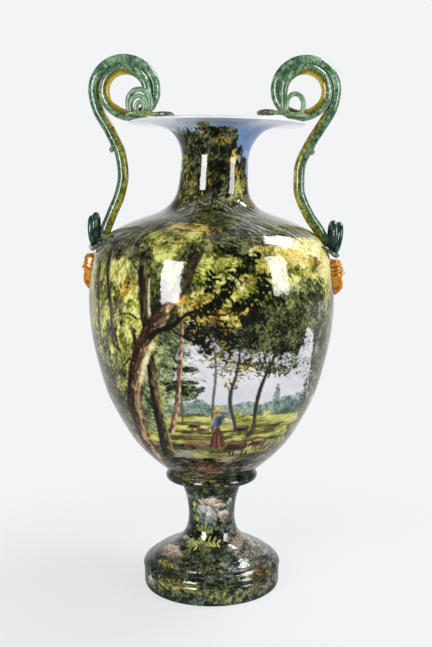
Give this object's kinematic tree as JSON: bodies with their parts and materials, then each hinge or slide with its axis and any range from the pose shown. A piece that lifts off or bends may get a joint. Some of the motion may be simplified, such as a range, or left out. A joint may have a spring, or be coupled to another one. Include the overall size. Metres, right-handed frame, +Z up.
{
  "type": "floor vase",
  "caption": "Tall turned urn-shaped floor vase on a pedestal foot, with coiled serpent handles and small masks on the shoulder, open at the mouth.",
  "frame": {"origin": "centre of the foot's flat underside, on the axis the belly and foot were turned on", "axes": "+Z up along the turned axis, +X to the right-hand serpent, -Y to the front"},
  "size_m": [0.5411, 0.5024, 1.0978],
  "materials": {
    "painted_body": "glossy painted majolica glaze",
    "painted_foot": "glossy painted majolica glaze",
    "serpent_glaze": "glossy green and yellow glaze",
    "mask_glaze": "glossy ochre glaze"
  },
  "bodies": {
    "root": {"vase_body": "painted_body", "pedestal_foot": "painted_foot", "serpent_left": "serpent_glaze", "serpent_right": "serpent_glaze", "mask_left": "mask_glaze", "mask_right": "mask_glaze"}
  },
  "joints": []
}
